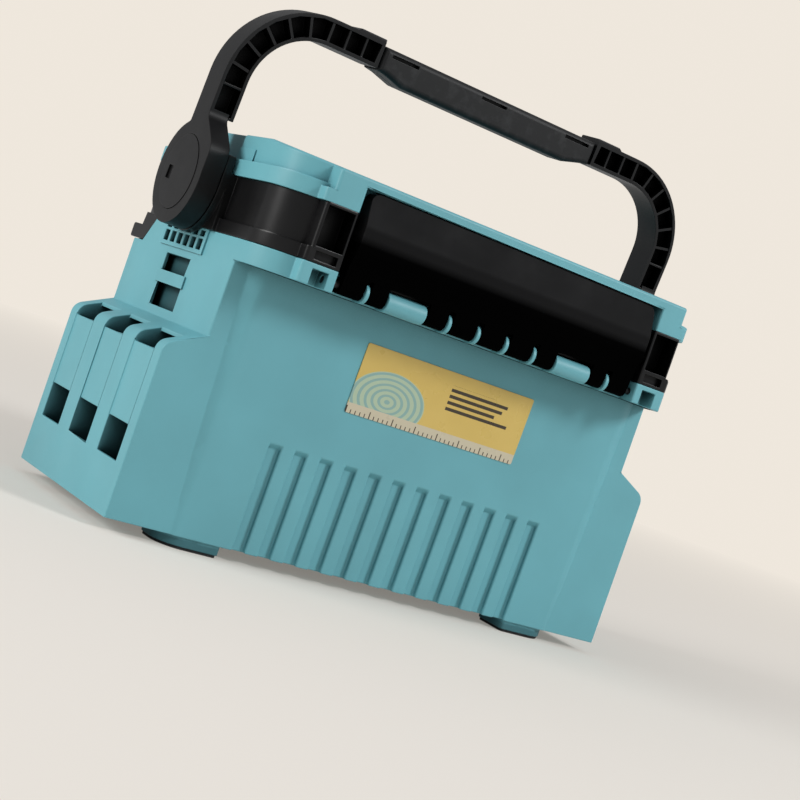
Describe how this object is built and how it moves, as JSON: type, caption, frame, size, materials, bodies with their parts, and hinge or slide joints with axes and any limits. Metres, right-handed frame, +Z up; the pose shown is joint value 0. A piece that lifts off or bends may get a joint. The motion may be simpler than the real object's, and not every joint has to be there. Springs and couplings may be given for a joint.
{
  "type": "fishing seat box",
  "caption": "Rigid fishing seat box with a rear-hinged seat lid, swing-down front latch, folding carry handle, side tool slots and a lift-out tray.",
  "frame": {"origin": "on the floor, at the centre of the box's outline from side pocket to side pocket and from latch to hinge", "axes": "+Z up, +X along the box to its right end as seen from the latch, +Y to the hinge at the rear"},
  "size_m": [0.44, 0.262, 0.395],
  "materials": {
    "teal_plastic": "satin",
    "black_plastic": "satin",
    "grip_rubber": "matte",
    "foot_rubber": "matte",
    "seal_rubber": "matte",
    "tray_plastic": "satin",
    "label_print": "gloss",
    "steel": "satin"
  },
  "bodies": {
    "box": {"tub": "teal_plastic", "foot_pad_front_left": "foot_rubber", "foot_pad_front_right": "foot_rubber", "foot_pad_rear_left": "foot_rubber", "foot_pad_rear_right": "foot_rubber", "label_plate": "label_print", "inner_tray": "tray_plastic", "tray_dividers": "tray_plastic", "latch_rod": "steel", "hinge_rod": "steel"},
    "lid": {"lid_frame": "black_plastic", "lid_cover": "teal_plastic", "lid_seal": "seal_rubber", "lid_screws": "steel", "handle_pin_left": "steel", "handle_pin_right": "steel", "pin_washer_left": "steel", "pin_washer_right": "steel"},
    "latch": {"front_latch": "black_plastic"},
    "handle": {"handle_bow": "black_plastic", "hub_cap_left": "black_plastic", "hub_cap_right": "black_plastic", "grip_front": "grip_rubber", "grip_rear": "grip_rubber"}
  },
  "joints": [
    {"name": "lid_hinge", "type": "hinge", "parent": "box", "child": "lid", "pos_m": [0, 0.1215, 0.202], "axis": [-1, 0, 0], "range_deg": [0, 100]},
    {"name": "latch_hinge", "type": "hinge", "parent": "box", "child": "latch", "pos_m": [0, -0.119, 0.209], "axis": [1, 0, 0], "range_deg": [0, 130]},
    {"name": "handle_hinge", "type": "hinge", "parent": "lid", "child": "handle", "pos_m": [0, 0.004, 0.25], "axis": [1, 0, 0], "range_deg": [-60, 50]}
  ]
}
